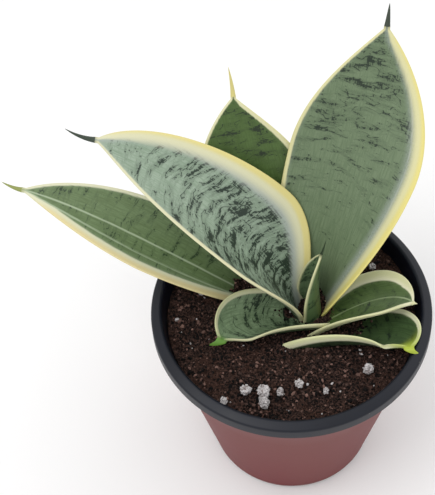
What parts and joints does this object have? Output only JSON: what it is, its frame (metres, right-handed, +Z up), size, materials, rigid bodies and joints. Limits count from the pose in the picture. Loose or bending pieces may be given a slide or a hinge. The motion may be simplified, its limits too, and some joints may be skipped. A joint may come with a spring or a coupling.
{
  "type": "potted snake plant",
  "caption": "Young variegated snake plant with stiff pointed leaves, growing in potting mix in a small round plastic nursery pot that stands on a flat surface.",
  "frame": {"origin": "centre of the pot's flat underside", "axes": "+Z up along the pot's axis; the tall leaf leans towards +X and +Y and the low leaf points to -X"},
  "size_m": [0.1669, 0.1282, 0.177],
  "materials": {
    "pot": "thin formed sheet, black inside and over the lip, terracotta outside",
    "soil": "dark moist peat and bark crumbs",
    "rhizome": "fleshy orange-brown skin",
    "leaf": "waxy satin, sage green with dark mottling and cream margins",
    "perlite": "matt white, lumpy"
  },
  "bodies": {
    "root": {"pot": "pot", "soil": "soil", "rhizome": "rhizome", "leaf_tall_right": "leaf", "leaf_front_left": "leaf", "leaf_back": "leaf", "leaf_low_left": "leaf", "leaf_young_spear": "leaf", "leaf_small_left": "leaf", "leaf_small_right": "leaf", "leaf_small_front": "leaf", "perlite_1": "perlite", "perlite_2": "perlite", "perlite_3": "perlite", "perlite_4": "perlite", "perlite_5": "perlite", "perlite_6": "perlite", "perlite_7": "perlite", "perlite_8": "perlite", "perlite_9": "perlite", "perlite_10": "perlite"}
  },
  "joints": []
}
